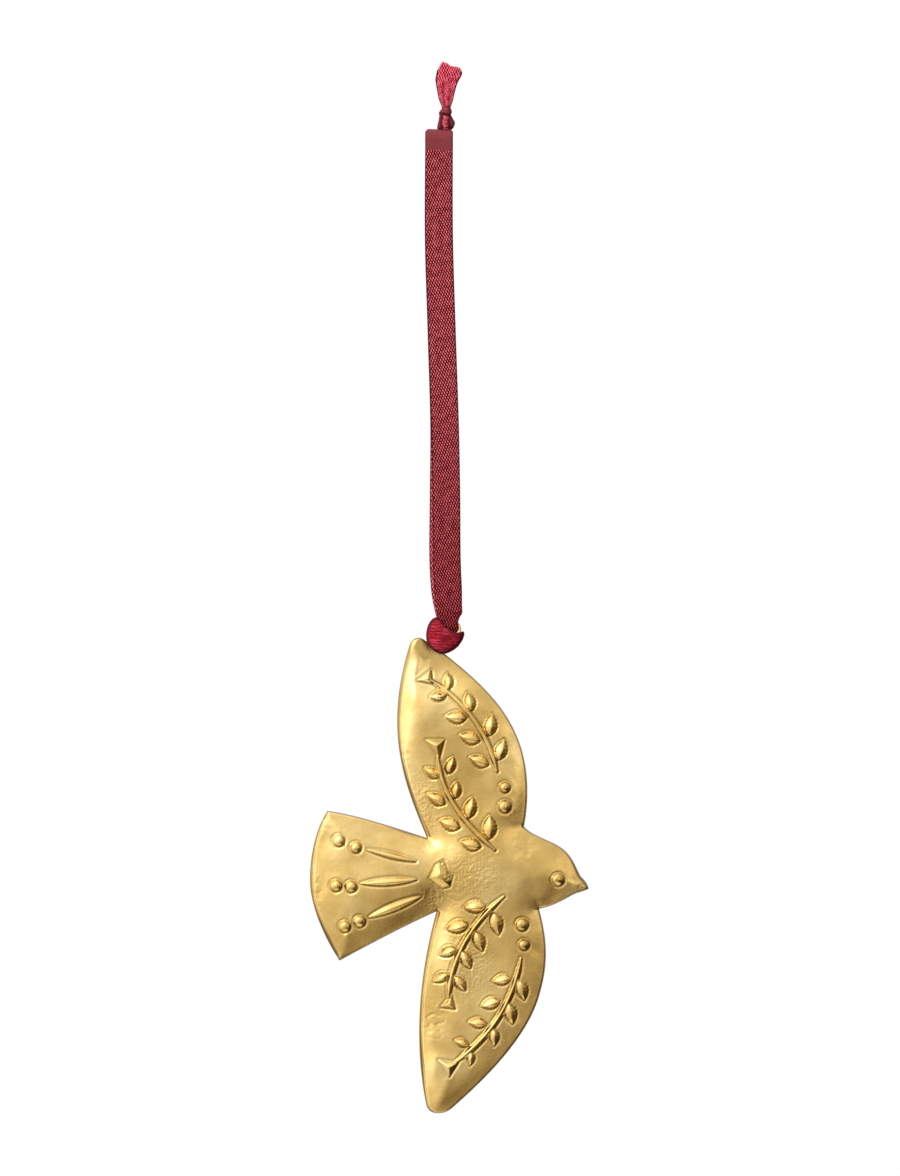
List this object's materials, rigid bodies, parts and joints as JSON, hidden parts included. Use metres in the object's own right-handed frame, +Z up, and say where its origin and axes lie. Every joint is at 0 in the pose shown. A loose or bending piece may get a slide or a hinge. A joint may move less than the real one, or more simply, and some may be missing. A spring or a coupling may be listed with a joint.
{
  "type": "hanging bird ornament",
  "caption": "Embossed brass bird ornament with spread wings, hung by a jump ring on a knotted crimson ribbon loop.",
  "frame": {"origin": "the underside of the ribbon's top fold, where the loop hangs on a hook or a twig", "axes": "+Z up along the hanging ribbon, +X towards the bird's beak, -Y out of the bird's embossed front"},
  "size_m": [0.0613, 0.0095, 0.2316],
  "materials": {
    "brass": "satin, softly dented",
    "ribbon": "woven satin ribbon"
  },
  "bodies": {
    "ribbon": {"ribbon_front_strand": "ribbon", "ribbon_back_strand": "ribbon", "ribbon_fold": "ribbon", "ribbon_knot": "ribbon", "ribbon_tail_left": "ribbon", "ribbon_tail_right": "ribbon", "hitch_turn": "ribbon", "hitch_band": "ribbon"},
    "ring": {"jump_ring": "brass"},
    "bird": {"bird_front_sheet": "brass", "bird_back_sheet": "brass"}
  },
  "joints": [
    {"name": "ring_swing", "type": "hinge", "parent": "ribbon", "child": "ring", "pos_m": [0.0036, 0, -0.1082], "axis": [1, 0, 0], "range_deg": [-10, 30]},
    {"name": "bird_swing", "type": "hinge", "parent": "ring", "child": "bird", "pos_m": [-0.00004, 0, -0.11322], "axis": [0, 1, 0], "range_deg": [-45, 45]}
  ]
}
